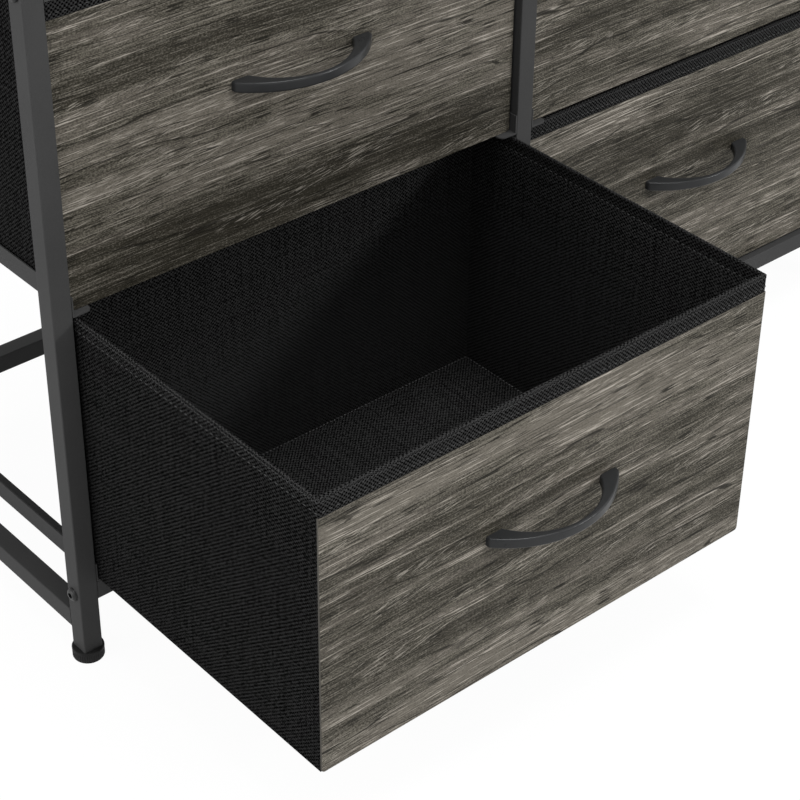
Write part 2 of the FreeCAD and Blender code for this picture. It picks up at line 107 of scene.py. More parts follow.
class Wire:
    """A value that runs through a shader's nodes, so that sums of values read as sums."""

    def __init__(self, nodes, socket):
        self.nodes, self.socket = nodes, socket

    def joined_by(self, operation, first, second):
        """One sum of two values."""
        return self.nodes.node("ShaderNodeMath", {"operation": operation}, {0: first, 1: second})

    def __add__(self, other):
        return self.joined_by("ADD", self, other)

    def __sub__(self, other):
        return self.joined_by("SUBTRACT", self, other)

    def __rsub__(self, other):
        return self.joined_by("SUBTRACT", other, self)

    def __mul__(self, other):
        return self.joined_by("MULTIPLY", self, other)

    __radd__ = __add__
    __rmul__ = __mul__

    def at_least(self, other):
        """The larger of two values."""
        return self.joined_by("MAXIMUM", self, other)

    def swing(self, amount):
        """A noise's swing to both sides of its middle, scaled by an amount."""
        return (self - 0.5) * amount


class Nodes:
    """A shader's tree of nodes."""

    def __init__(self, tree):
        self.tree = tree

    def node(self, kind, settings, values, output=0):
        """Adds one node: its settings first, then what goes into its sockets."""
        node = self.tree.nodes.new(kind)
        for setting, choice in settings.items():
            setattr(node, setting, choice)
        for socket, value in values.items():
            self.feed(node.inputs[socket], value)
        return Wire(self, node.outputs[output])

    def feed(self, socket, value):
        """Puts a fixed value, or another node's output, into a socket."""
        if isinstance(value, Wire):
            self.tree.links.new(value.socket, socket)
        else:
            socket.default_value = value


SHADER_SOCKETS = {"colour": "Base Color", "roughness": "Roughness", "metallic": "Metallic",
                  "gloss": "Specular IOR Level", "normal": "Normal"}


class Finish(Nodes):
    """A surface finish: fixed values on the shader, and nodes for what varies."""

    def __init__(self, name, **fixed):
        self.material = bpy.data.materials.new(name)
        self.material.use_nodes = True
        super().__init__(self.material.node_tree)
        self.shade(**fixed)

    def shade(self, **values):
        """Feeds the shader's own sockets."""
        shader = self.tree.nodes["Principled BSDF"]
        for setting, value in values.items():
            self.feed(shader.inputs[SHADER_SOCKETS[setting]], value)

    def mix(self, share, first, second):
        """A colour between two colours."""
        return self.node("ShaderNodeMix", {"data_type": "RGBA"},
                         {0: share, 6: first, 7: second}, output=2)

    def step(self, value, low, high):
        """A soft step from 0 to 1 as a value goes from low to high."""
        return self.node("ShaderNodeMapRange", {"interpolation_type": "SMOOTHSTEP"},
                         {"Value": value, "From Min": low, "From Max": high})

    def wave(self, value, length):
        """A cosine wave along a value."""
        return self.node("ShaderNodeMath", {"operation": "COSINE"},
                         {0: value * (2 * math.pi / length)})

    def place(self):
        """Where a point is on the object, in millimetres."""
        spot = self.node("ShaderNodeTexCoord", {}, {}, output="Object")
        return self.node("ShaderNodeVectorMath", {"operation": "SCALE"},
                         {0: spot, "Scale": SCALE_TO_MM})

    def parts(self, vector):
        """The three numbers of a vector."""
        split = self.node("ShaderNodeSeparateXYZ", {}, {0: vector})
        return [Wire(self, output) for output in split.socket.node.outputs]

    def noise(self, across, up, size=(1.0, 1.0), detail=2.0, rough=0.5):
        """Soft noise over two directions, with its own size along each."""
        spot = self.node("ShaderNodeCombineXYZ", {},
                         {X: across * (1 / size[0]), Y: up * (1 / size[1])})
        return self.node("ShaderNodeTexNoise", {"noise_dimensions": "2D"},
                         {"Vector": spot, "Scale": 1.0, "Detail": detail, "Roughness": rough})

    def mottle(self, size, detail=2.0, rough=0.5):
        """Soft noise in all directions."""
        return self.node("ShaderNodeTexNoise", {},
                         {"Vector": self.place(), "Scale": 1 / size, "Detail": detail,
                          "Roughness": rough})

    def bump(self, height, depth, strength=1.0):
        """Shallow relief: height from 0 to 1, and what 1 means in millimetres."""
        return self.node("ShaderNodeBump", {},
                         {"Height": height, "Distance": depth / SCALE_TO_MM,
                          "Strength": strength}, output="Normal")


def grey(level, warmth=0.0):
    """A grey, a little warmer or cooler than neutral."""
    return level * (1 + warmth), level, level * (1 - warmth), 1.0


def powder_coat():
    """Matt powder coat: a fine orange-peel relief and slightly uneven tone."""
    finish = Finish("frame_powder_coat", gloss=0.06)
    patch = finish.mottle(size=60.0, detail=3.0)
    grain = finish.mottle(size=0.9, detail=1.0)
    peel = finish.mottle(size=1.6)
    tone = finish.step(patch * 0.6 + grain * 0.4, 0.3, 0.7)
    finish.shade(colour=finish.mix(tone, grey(0.033), grey(0.039)),
                 roughness=0.5 + patch * 0.12 + grain * 0.06,
                 normal=finish.bump(peel, depth=0.035))
    return finish


def make_piece(name, bm, body, finishes, replaced=(), flat_angle=32.0):
    """Hands a mesh drawn in millimetres over as one piece of the dresser."""
    bm.transform(Matrix.Scale(1 / SCALE_TO_MM, 4))
    mesh = bpy.data.meshes.new(name)
    bm.to_mesh(mesh)
    bm.free()
    mesh.shade_smooth()
    mesh.set_sharp_from_angle(angle=math.radians(flat_angle))
    for finish in finishes:
        mesh.materials.append(finish.material)
    piece = bpy.data.objects.new(name, mesh)
    bpy.context.scene.collection.objects.link(piece)
    evened = piece.modifiers.new("evened_shading", "WEIGHTED_NORMAL")
    evened.keep_sharp = True
    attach(piece, body)
    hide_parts(*replaced)


frame_coat = powder_coat()
SIDES = ["left", "middle", "right"]
posts = {}
for side in SIDES:
    for face in ("front", "rear"):
        node = f"{side}_{face}_post"
        posts[side, face] = node_box(node)
        make_piece(f"{node}_tube", square_tube(*posts[side, face], Z), "frame",
                   [frame_coat], [node])

# ------------------------------------------------------------------ side rails
# Short tubes of the same steel, welded between the front and the rear post of each side
# frame: one near the floor and one under the board.

for node in ("base_side_rails", "top_side_rails"):
    low, high = node_box(node)
    tubes = []
    for side in SIDES:
        front, rear = posts[side, "front"], posts[side, "rear"]
        tubes.append(square_tube((front[0].x, front[1].y, low.z),
                                 (front[1].x, rear[0].y, high.z), Y))
    make_piece(f"{node}_tubes", gathered(tubes), "frame", [frame_coat], [node])

# ------------------------------------------------------------------ cross rails
# Tubes that join the side frames, front and rear, under each pair of drawer rows and under
# the board. Bolts and studs pull their ends against the posts.

CROSS_RAILS = ["bottom_cross_rails", "middle_cross_rails", "top_cross_rails"]
rail_middles = []
for node in CROSS_RAILS:
    low, high = node_box(node)
    rail_middles.append((low.z + high.z) / 2)
    tubes = []
    for first, second in (("left", "middle"), ("middle", "right")):
        for face in ("front", "rear"):
            start, end = posts[first, face], posts[second, face]
            tubes.append(square_tube((start[1].x, start[0].y, low.z),
                                     (end[0].x, start[1].y, high.z), X))
    make_piece(f"{node}_tubes", gathered(tubes), "frame", [frame_coat], [node])

# ------------------------------------------------------------------ runners
# Angles folded from 1.2 mm sheet steel, one on each side of every drawer. The upright leg
# is welded to two posts, and the flat leg, with rounded corners, carries the bin.

ROWS = [1, 2, 3, 4]
RUNNER_LEG = 15.0
RUNNER_SHEET = 1.2
RUNNER_ROUND = 4.5
RUNNER_FOLD = 1.0
RUNNER_DEBURR = 0.2
BIN_REST_GAP = 0.3


def turns_sharply(edge, degrees=60.0):
    """Whether the faces on both sides of an edge meet at a sharp angle."""
    return edge.calc_face_angle(0) > math.radians(degrees)


def made_verts(result):
    """The vertices among what an operator made."""
    return [part for part in result["geom"] if isinstance(part, bmesh.types.BMVert)]


def angle_runner(post_face, inwards, underside, front, rear):
    """One angle, whose flat leg points inwards: 1 to the right, -1 to the left."""
    section = [(0, 0), (RUNNER_LEG, 0), (RUNNER_LEG, RUNNER_SHEET),
               (RUNNER_SHEET, RUNNER_SHEET), (RUNNER_SHEET, RUNNER_LEG), (0, RUNNER_LEG)]
    bm = bmesh.new()
    corners = [bm.verts.new((post_face + inwards * across, front, underside + up))
               for across, up in section]
    bm.faces.new(corners)
    swept = bmesh.ops.extrude_face_region(bm, geom=bm.faces[:])
    bmesh.ops.translate(bm, vec=(0, rear - front, 0), verts=made_verts(swept))
    bmesh.ops.recalc_face_normals(bm, faces=bm.faces[:])
    tip = post_face + inwards * RUNNER_LEG
    rounded(bm, [edge for edge in bm.edges if runs_along(edge, Z)
                 and abs(edge.verts[0].co.x - tip) < NEAR], RUNNER_ROUND, steps=6)
    fold = [edge for edge in bm.edges if runs_along(edge, Y)
            and abs(edge.verts[0].co.x - post_face) < NEAR
            and edge.verts[0].co.z - underside < NEAR]
    rounded(bm, fold, RUNNER_FOLD)
    rounded(bm, [edge for edge in bm.edges if turns_sharply(edge)], RUNNER_DEBURR, steps=2)
    return bm


runner_undersides = [node_box(f"bin_left_{row}")[0].z - BIN_REST_GAP - RUNNER_SHEET
                     for row in ROWS]
for side, facings in (("left", [1]), ("middle", [1, -1]), ("right", [-1])):
    low, high = posts[side, "front"]
    rear = posts[side, "rear"][1].y
    angles = [angle_runner(high.x if inwards > 0 else low.x, inwards, underside, low.y, rear)
              for inwards in facings for underside in runner_undersides]
    make_piece(f"{side}_runner_angles", gathered(angles), "frame",
               [frame_coat], [f"{side}_frame_runners"])

# ------------------------------------------------------------------ levelling feet
# Black moulded discs on a threaded stud, turned by hand to level the dresser. The side is
# ribbed for grip below a plain band, and the disc stands 4 mm proud of the post.

FOOT_RIBS = 44
RIB_DEPTH = 0.45
FOOT_LEVELS = [(0.0, 10.9, False), (0.7, 11.4, True), (6.6, 11.4, True), (7.0, 11.5, False),
               (8.3, 11.5, False), (8.8, 11.2, False), (9.0, 10.6, False), (9.0, 7.0, False)]


def edges_between(bm, verts):
    """The edges whose two ends are both among some vertices."""
    chosen = set(verts)
    return [edge for edge in bm.edges if set(edge.verts) <= chosen]


def foot_disc(across, back):
    """The disc, drawn upwards in rings: height, radius, and whether the ring is ribbed."""
    bm = bmesh.new()
    ring = bmesh.ops.create_circle(bm, segments=2 * FOOT_RIBS, radius=1.0, cap_ends=True)["verts"]
    bmesh.ops.reverse_faces(bm, faces=bm.faces[:])
    directions = [vert.co.normalized() for vert in ring]
    for level, (up, radius, ribbed) in enumerate(FOOT_LEVELS):
        if level:
            swept = bmesh.ops.extrude_edge_only(bm, edges=edges_between(bm, ring))
            above = set(made_verts(swept))
            ring = [next(edge.other_vert(vert) for edge in vert.link_edges
                         if edge.other_vert(vert) in above) for vert in ring]
        for number, (vert, direction) in enumerate(zip(ring, directions)):
            inset = RIB_DEPTH if ribbed and number % 2 else 0.0
            vert.co = direction * (radius - inset) + Vector((0, 0, up))
    bmesh.ops.contextual_create(bm, geom=ring)
    bmesh.ops.recalc_face_normals(bm, faces=bm.faces[:])
    bmesh.ops.translate(bm, vec=(across, back, 0), verts=bm.verts[:])
    return bm


def moulded_black(name):
    """Black moulded plastic, faintly pitted and dulled by dust."""
    finish = Finish(name, gloss=0.1)
    pits = finish.mottle(size=0.5)
    dust = finish.mottle(size=9.0, detail=3.0)
    finish.shade(colour=finish.mix(finish.step(dust, 0.35, 0.7), grey(0.009), grey(0.013)),
                 roughness=0.42 + dust * 0.2, normal=finish.bump(pits, depth=0.03))
    return finish


foot_black = moulded_black("foot_plastic")
post_middles = [(low + high) / 2 for low, high in posts.values()]
make_piece("levelling_feet_ribbed", gathered([foot_disc(at.x, at.y) for at in post_middles]),
           "frame", [foot_black], ["levelling_feet"])

# ------------------------------------------------------------------ plugs and studs
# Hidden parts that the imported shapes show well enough: the nylon plugs that the feet turn
# in, and the zinc-plated studs of the middle posts and wood screws under the board.


def zinc_plate(name):
    """Bright zinc over turned steel, with a cloudy passivation."""
    finish = Finish(name, metallic=1.0)
    cloud = finish.mottle(size=2.5, detail=4.0, rough=0.6)
    turned = finish.mottle(size=0.25, detail=1.0)
    finish.shade(colour=finish.mix(cloud, (0.42, 0.42, 0.40, 1.0), (0.62, 0.61, 0.57, 1.0)),
                 roughness=0.28 + cloud * 0.2, normal=finish.bump(turned, depth=0.02))
    return finish


zinc = zinc_plate("zinc_plate")
plug_black = moulded_black("plug_nylon")
for node, finish in (("foot_plugs", plug_black), ("joining_studs", zinc),
                     ("top_board_screws", zinc)):
    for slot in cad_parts[node].material_slots:
        slot.material = finish.material

# ------------------------------------------------------------------ frame bolts
# Black button-head bolts with a hexagon socket, six on each outer side. The domed heads
# bear on the posts and hold the cross rails from outside.

BOLT_RADIUS = 5.0
BOLT_HEIGHT = 3.0
BOLT_BRIM = 0.5
SOCKET_SIDES = 6
SOCKET_FLATS = 4.0
SOCKET_DEPTH = 1.8
HEAD_FACETS = 24
DOME_STEPS = 6
DOME_TOP = 2.9


def button_head():
    """A domed head on the plane Z 0 with a socket sunk into its crown."""
    bm = bmesh.new()
    bmesh.ops.create_circle(bm, segments=HEAD_FACETS, radius=BOLT_RADIUS)
    outer = bm.edges[:]
    for number in range(1, DOME_STEPS + 1):
        ring = made_verts(bmesh.ops.extrude_edge_only(bm, edges=outer))
        outer = edges_between(bm, ring)
        turn = math.pi / 2 * number / DOME_STEPS
        radius = DOME_TOP + (BOLT_RADIUS - DOME_TOP) * math.cos(turn)
        level = BOLT_BRIM + (BOLT_HEIGHT - BOLT_BRIM) * math.sin(turn)
        for vert in ring:
            flat = Vector((vert.co.x, vert.co.y, 0)).normalized() * radius
            vert.co = flat + Vector((0, 0, level))
    corner = SOCKET_FLATS / 2 / math.cos(math.pi / SOCKET_SIDES)
    socket = bmesh.ops.create_circle(bm, segments=SOCKET_SIDES, radius=corner,
                                     matrix=Matrix.Translation((0, 0, BOLT_HEIGHT)))["verts"]
    bmesh.ops.subdivide_edges(bm, edges=edges_between(bm, socket),
                              cuts=HEAD_FACETS // SOCKET_SIDES - 1)
    mouth = edges_between(bm, [vert for vert in bm.verts if vert.co.z > BOLT_HEIGHT - NEAR
                               and vert.co.xy.length < corner + NEAR])
    bmesh.ops.bridge_loops(bm, edges=outer + mouth)
    sunk = made_verts(bmesh.ops.extrude_edge_only(bm, edges=mouth))
    bmesh.ops.translate(bm, vec=(0, 0, -SOCKET_DEPTH), verts=sunk)
    bmesh.ops.contextual_create(bm, geom=sunk)
    bmesh.ops.recalc_face_normals(bm, faces=bm.faces[:])
    return bm


def black_oxide(name):
    """Blackened steel with a thin oil film, worn a little brighter in patches."""
    finish = Finish(name, metallic=0.55, gloss=0.5)
    wear = finish.mottle(size=3.0, detail=4.0, rough=0.6)
    finish.shade(colour=finish.mix(finish.step(wear, 0.4, 0.75), grey(0.018), grey(0.036)),
                 roughness=0.34 + wear * 0.18, normal=finish.bump(wear, depth=0.03))
    return finish


bolt_black = black_oxide("bolt_black_oxide")
heads = []
for side, outwards in (("left", -1), ("right", 1)):
    for face in ("front", "rear"):
        low, high = posts[side, face]
        seat = low.x if outwards < 0 else high.x
        for middle in rail_middles:
            head = button_head()
            turned = Matrix.Rotation(outwards * math.pi / 2, 4, "Y")
            head.transform(Matrix.Translation((seat, (low.y + high.y) / 2, middle)) @ turned)
            heads.append(head)
make_piece("frame_bolt_heads", gathered(heads), "frame", [bolt_black],
           ["frame_bolts"])

# ------------------------------------------------------------------ top board
# A 15 mm board of pressed wood fibre under a printed grey oak foil, with softened upper
# edges. Screws through the top rails hold it from below.

BOARD_SOFTENING = 1.2
BOARD_START = (0.0, 37.0)
# The print's inks.
OAK_DARK = (0.0210, 0.0189, 0.0138, 1.0)
OAK_LIGHT = (0.1125, 0.1032, 0.0840, 1.0)
OAK_PALE = (0.325, 0.299, 0.260, 1.0)
OAK_BLUSH = (0.120, 0.104, 0.091, 1.0)
OAK_LINE = (0.0085, 0.0078, 0.0058, 1.0)
# Length and width of each kind of mark, in millimetres.
BEND_SIZE = (230, 80)
RIPPLE_SIZE = (110, 26)
DRIFT_SIZE = (340, 34)
BAND_SIZE = (560, 27)
PATCH_SIZE = (105, 9.5)
COMB_SIZE = (420, 1.3)
STREAK_SIZE = (105, 1.3)
FIBRE_SIZE = (17, 0.85)
PORE_SIZE = (22, 0.85)
PORE_SHIFT = 40.0
CURL_SIZE = (17, 0.9)
CURL_SLANT = 0.2
CURLED_SIZE = (120, 15)
SPECKLE_SIZE = (1.7, 1.0)
# How far the grain is pushed aside by each of them, and how far apart its drawn lines lie.
BEND_REACH = 5.0
RIPPLE_REACH = 1.1
COMB_REACH = 9.0
STREAK_REACH = 5.0
HEART_REACH = 34.0
RIDGE_REACH = 46.0
HAIR_REACH = -38.0
HEART_PITCH = 178.0
RIDGE_PITCH = 15.0
HAIR_PITCH = 6.6
# Where each kind of mark begins to show in its noise and where it is full.
TONE_STEP = (-0.25, 1.35)
CLUSTER_STEP = (0.52, 0.65)
PALE_STEP = (0.585, 0.665)
CURL_STEP = (0.58, 0.66)
CURLED_STEP = (0.58, 0.64)
RIDGE_STEP = (0.975, 0.998)
RIDGE_GATE = (0.38, 0.52)
HAIR_STEP = (0.93, 0.99)
HAIR_GATE = (0.50, 0.60)
PORE_STEP = (0.64, 0.72)
PORE_GATE = (0.36, 0.56)


def laid_flat(bm, layer_name, stretch=1.0, start=(0.0, 0.0)):
    """Gives each face its own flat map in millimetres, by the way that it faces.

    Across is X, or Y on the sides, which may be stretched. Up is Z, or Y on a level face.
    The whole map starts where the piece was cut from its sheet.
    """
    layer = bm.loops.layers.uv.new(layer_name)
    bm.normal_update()
    for face in bm.faces:
        facing = max((X, Y, Z), key=lambda axis: abs(face.normal[axis]))
        for loop in face.loops:
            spot = loop.vert.co
            across = spot.y * stretch if facing == X else spot.x
            up = spot.y if facing == Z else spot.z
            loop[layer].uv = (across + start[0], up + start[1])


def oak_marks(finish, along, level, across, streaks, combs, patches):
    """Where the print has long dark lines and short dark pores, from 0 to 1."""
    drift = finish.noise(along, level, DRIFT_SIZE)
    ridges = finish.wave(across + drift.swing(RIDGE_REACH), RIDGE_PITCH)
    hairs = finish.wave(across + drift.swing(HAIR_REACH), HAIR_PITCH)
    lines = finish.step(ridges, *RIDGE_STEP) * finish.step(streaks, *RIDGE_GATE)
    lines = lines + finish.step(hairs, *HAIR_STEP) * finish.step(combs, *HAIR_GATE)
    pores = finish.noise(along, across + PORE_SHIFT, PORE_SIZE, detail=0.0)
    return lines.at_least(finish.step(pores, *PORE_STEP) * finish.step(1 - patches, *PORE_GATE))


def oak_curls(finish, along, level, across):
    """Where the print has short pale strokes at a slant, from 0 to 1."""
    strokes = finish.noise(along, across - along * CURL_SLANT, CURL_SIZE, detail=1.0)
    places = finish.noise(along, level, CURLED_SIZE, detail=1.0)
    return finish.step(strokes, *CURL_STEP) * finish.step(places, *CURLED_STEP)


def oak_print(name):
    """Grey oak print: clustered pale streaks, dark pores and long dark lines."""
    finish = Finish(name, gloss=0.06)
    flat = finish.node("ShaderNodeUVMap", {"uv_map": "grain"}, {})
    along, level, _ = finish.parts(flat)
    bend = finish.noise(along, level, BEND_SIZE, detail=1.0)
    ripple = finish.noise(along, level, RIPPLE_SIZE, detail=1.0)
    across = level + bend.swing(BEND_REACH) + ripple.swing(RIPPLE_REACH)
    combs = finish.noise(along, across, COMB_SIZE, rough=0.7)
    streaks = finish.noise(along, across, STREAK_SIZE, rough=0.7)
    fibres = finish.noise(along, across, FIBRE_SIZE, rough=0.7)
    speckle = finish.noise(along, level, SPECKLE_SIZE, detail=1.0, rough=0.6)
    feathered = across + combs.swing(COMB_REACH) + streaks.swing(STREAK_REACH)
    bands = finish.noise(along, feathered, BAND_SIZE, detail=1.0)
    patches = finish.noise(along, feathered, PATCH_SIZE)
    heart = finish.wave(feathered + patches.swing(HEART_REACH), HEART_PITCH)
    tone = 0.5 + bands.swing(1.6) + patches.swing(0.6) + combs.swing(1.1)
    tone = tone + streaks.swing(1.1) + fibres.swing(1.1) + speckle.swing(2.0) - heart * 0.2
    cluster = finish.step(patches * 0.7 + bands * 0.4 - heart * 0.06, *CLUSTER_STEP)
    pale = finish.step(fibres * 0.36 + streaks * 0.5 + combs * 0.22, *PALE_STEP)
    curls = oak_curls(finish, along, level, across)
    marks = oak_marks(finish, along, level, across, streaks, combs, patches)
    body = finish.mix(finish.step(tone, *TONE_STEP), OAK_DARK, OAK_LIGHT)
    body = finish.mix(pale * (0.15 + cluster * 0.85), body, OAK_PALE)
    body = finish.mix(curls * 0.45, body, OAK_PALE)
    body = finish.mix(cluster * 0.22, body, OAK_BLUSH)
    body = finish.mix(marks * 0.88, body, OAK_LINE)
    finish.shade(colour=body, roughness=0.5 + streaks * 0.12,
                 normal=finish.bump(tone - marks * 0.6, depth=0.05))
    return finish


board_oak = oak_print("top_board_print")
low, high = node_box("top_board")
slab = block(low, high)
rounded(slab, [edge for edge in slab.edges
               if min(vert.co.z for vert in edge.verts) > high.z - NEAR], BOARD_SOFTENING)
laid_flat(slab, "grain", start=BOARD_START)
make_piece("top_board_printed", slab, "frame", [board_oak], ["top_board"])

# ------------------------------------------------------------------ fabric bins
# Sewn bins of black woven cloth over stiffener boards. A folded hem with a grey stitch line
# runs round the rim, thread loops bind the rim's outer shoulder, and the front has a shallow
# recess for the panel.

DRAWERS = [f"{column}_{row}" for column in ("left", "right") for row in ROWS]
INSIDE, OUTSIDE, HEM, FRONT_HEM = range(4)
# Walls, folds and the recess in the front.
BIN_WALL = 3.0
BIN_FRONT = 4.0
BIN_FLOOR = 1.2
BIN_CORNER = 2.0
PANEL_RECESS = 1.5
FRONT_HEM_HEIGHT = 12.5
HEM_HEIGHT = 9.6
HEM_PROUD = 0.45
LEDGE_SLOPE = 0.3
HEM_SLOPE = 0.4
RIM_STRIP = 4.0
RIM_ROUND = 1.35
# Where the cloth is cut for shaping, and how far a place may be off and still belong to it.
CLOTH_GRID = 24.0
GRID_START = 8.0
GRID_END = 6.0
ON_PLANE = 0.001
SLACK = 0.1
WALL_SLACK = 0.5
# The slow waves of the walls: depth in millimetres, and turns in radians a millimetre.
WALL_WAVE = 0.45
SIDE_RIPPLE = 0.047
UPWARD_RIPPLE = 0.019
BACK_RIPPLE = 0.038
BACK_RIPPLE_START = 1.3
BACK_RIPPLE_SHARE = 0.6
BACK_WAVE_SHARE = 0.8
RIPPLE_SHARE = 0.35
LEAN_IN = 0.25
# The weave: the pitch of its pits, the size of its irregular spots and threads, and the
# heights between which the painted light that pales the cloth low in the bin fades out.
WEAVE_ACROSS = 3.09
WEAVE_UP = 2.97
WEAVE_SIDE_STRETCH = 3.09 / 3.66
LEAN_SIZE = (26, 26)
LEAN_REACH = 0.5
FUZZ_SIZE = (1.7, 1.3)
FILL_SIZE = (3.3, 3.0)
FILL_SHIFT = 70.0
FILL_STEP = (0.36, 0.62)
PIT_STEP = (0.02, 0.45)
WARP_SIZE = (1.5, 70)
WEFT_SIZE = (70, 1.4)
THREAD_STEP = (0.1, 0.95)
PAINTED_LIGHT_LEVELS = (10.0, 190.0)
# The hem's stitches and the loops round the rim.
STITCH_DROP = 9.1
STITCH_CLIMB = 1.1
STITCH_SIZE = (2.9, 0.4, 0.7)
STITCH_PITCH = 5.2
STITCH_SINK = 0.05
THREAD_LIFT = 0.02
INNER_CORNER = 0.6
LOOP_FINISH = 1
LOOP_PITCH = 3.3
LOOP_RADIUS = 1.2
LOOP_THREAD = 0.26
LOOP_DROP = 0.38
LOOP_SINK = 0.42
LOOP_TILT = 0.78


def cut_across(bm, axis, places):
    """Cuts a mesh through at some places along an axis."""
    normal = [float(way == axis) for way in (X, Y, Z)]
    for place in places:
        point = [place * share for share in normal]
        bmesh.ops.bisect_plane(bm, geom=bm.verts[:] + bm.edges[:] + bm.faces[:], dist=ON_PLANE,
                               plane_co=point, plane_no=normal)


def evenly(low, high, spacing):
    """Places between two ends, about as far apart as asked."""
    count = max(1, round((high - low) / spacing))
    return [low + (high - low) * number / count for number in range(1, count)]


def soft_wave(spot, half, depth, height):
    """How far a wall leans out at a spot: slow waves that die out at corners and floor."""
    lift = min(1.0, max(0.0, spot.z / height))
    along_side = math.sin(math.pi * min(max(spot.y / depth, 0.0), 1.0))
    along_back = math.cos(math.pi / 2 * min(abs(spot.x) / half, 1.0))
    ripple = math.sin(spot.y * SIDE_RIPPLE + spot.z * UPWARD_RIPPLE)
    ripple += BACK_RIPPLE_SHARE * math.sin(spot.x * BACK_RIPPLE + BACK_RIPPLE_START)
    share = max(along_side, along_back * BACK_WAVE_SHARE)
    return WALL_WAVE * lift * (RIPPLE_SHARE * ripple - LEAN_IN) * share


def cloth_bin(width, depth, height):
    """A bin with its front plane at Y 0, its middle at X 0 and its underside at Z 0."""
    half = width / 2
    bm = block((-half, 0, 0), (half, depth, height))
    bmesh.ops.delete(bm, geom=[face for face in bm.faces if face.normal.z > SQUARE_ON],
                     context="FACES_ONLY")
    rounded(bm, [edge for edge in bm.edges if runs_along(edge, Z)], BIN_CORNER, steps=5)
    hem_foot, ledge = height - HEM_HEIGHT, height - FRONT_HEM_HEIGHT
    cut_across(bm, X, evenly(-half + GRID_START, half - GRID_START, CLOTH_GRID))
    cut_across(bm, Y, evenly(GRID_START, depth - GRID_START, CLOTH_GRID))
    cut_across(bm, Z, evenly(0, ledge - GRID_END, CLOTH_GRID))
    cut_across(bm, Z, [ledge - LEDGE_SLOPE, ledge, hem_foot - HEM_SLOPE, hem_foot,
                       height - RIM_STRIP])
    outer = set(bm.verts)
    bmesh.ops.solidify(bm, geom=bm.faces[:], thickness=BIN_WALL)
    for vert in bm.verts:
        spot = vert.co
        inner = vert not in outer
        if inner:
            spot.y = max(spot.y, BIN_FRONT)
        if inner and spot.z < BIN_WALL + SLACK:
            spot.z = BIN_FLOOR
        if not inner and spot.y < PANEL_RECESS and spot.z < ledge - SLACK:
            spot.y = PANEL_RECESS
        swell = soft_wave(spot, half, depth, height)
        if spot.z > hem_foot - SLACK and spot.y > BIN_FRONT + WALL_SLACK:
            swell += -HEM_PROUD if inner else HEM_PROUD
        if abs(spot.x) > half - BIN_WALL - WALL_SLACK:
            spot.x += math.copysign(swell, spot.x)
        if spot.y > depth - BIN_WALL - WALL_SLACK:
            spot.y += swell
    top = [edge for edge in bm.edges if all(vert.co.z > height - NEAR for vert in edge.verts)
           and sum(face.normal.z > SQUARE_ON for face in edge.link_faces) == 1]
    rounded(bm, top, RIM_ROUND)
    return bm


def cloth_of(face, size):
    """Which cloth a face of the bin shows: the inside, the outside or one of the hems."""
    middle = face.calc_center_median()
    in_front = middle.y < BIN_FRONT - SLACK
    if middle.z > size.z - (FRONT_HEM_HEIGHT if in_front else HEM_HEIGHT):
        return FRONT_HEM if in_front else HEM
    core = Vector((0, size.y / 2, size.z / 2))
    return OUTSIDE if face.normal.dot(middle - core) > 0 else INSIDE


def woven_cloth(name, thread, hole, contrast, painted_light=0.0, closed=0.0):
    """Black cloth of a net-like weave: staggered pits between lighter crossing threads.

    Painted light pales the cloth towards the bottom of the bin, lifting the shade there.
    A closed weave has smaller pits.
    """
    finish = Finish(name, gloss=0.0)
    flat = finish.node("ShaderNodeUVMap", {"uv_map": "weave"}, {})
    across, up, _ = finish.parts(flat)
    lean = finish.noise(across, up, LEAN_SIZE).swing(LEAN_REACH)
    lattice = finish.wave(across + lean, WEAVE_ACROSS) * finish.wave(up + lean, WEAVE_UP)
    fuzz = finish.noise(across, up, FUZZ_SIZE, rough=0.6)
    fill = finish.noise(across + FILL_SHIFT, up, FILL_SIZE, detail=1.0)
    pit = finish.step(lattice + fuzz.swing(0.9 - closed),
                      PIT_STEP[0] + closed, PIT_STEP[1] + closed)
    pit = pit * (0.35 + finish.step(fill, *FILL_STEP) * 0.65)
    warp = finish.noise(across, up, WARP_SIZE)
    weft = finish.noise(across, up, WEFT_SIZE)
    tone = 0.5 + fuzz.swing(2.4 - 4 * closed) + warp.swing(0.6) + weft.swing(0.6)
    tone = finish.step(tone - lattice * (0.3 + closed), *THREAD_STEP)
    threads = finish.mix(tone, grey(thread * 0.25), grey(thread * 1.95))
    # painted light: the threads are paled towards the bottom of the bin, lifting the shade there
    painted_lift = (1 - finish.step(up, *PAINTED_LIGHT_LEVELS)) * painted_light
    threads = finish.mix(painted_lift, threads, grey(thread * 3.0))
    finish.shade(colour=finish.mix(pit * contrast, threads, grey(hole)),
                 roughness=0.86 + fuzz * 0.1,
                 normal=finish.bump((1 - pit) * 0.8 + fuzz * 0.2, depth=0.28, strength=0.75))
    return finish


def round_walk(half, front, rear, radius, pitch):
    """Evenly spaced places round a rounded rectangle, each with its heading."""
    wide, deep = 2 * (half - radius), rear - front - 2 * radius
    corner = math.pi / 2 * radius
    straights = [(Vector((radius - half, front)), 0.0, wide),
                 (Vector((half, front + radius)), math.pi / 2, deep),
                 (Vector((half - radius, rear)), math.pi, wide),
                 (Vector((-half, rear - radius)), -math.pi / 2, deep)]
    whole = 2 * (wide + deep) + 4 * corner
    count = round(whole / pitch)
    for number in range(count):
        gone = whole * (number + 0.5) / count
        for start, heading, length in straights:
            ahead = Vector((math.cos(heading), math.sin(heading)))
            if gone < length:
                yield start + ahead * gone, heading
                break
            gone -= length
            if gone < corner:
                turn = gone / radius
                side = Vector((-ahead.y, ahead.x))
                middle = start + ahead * length + side * radius
                yield (middle + ahead * radius * math.sin(turn)
                       - side * radius * math.cos(turn)), heading + turn
                break
            gone -= corner


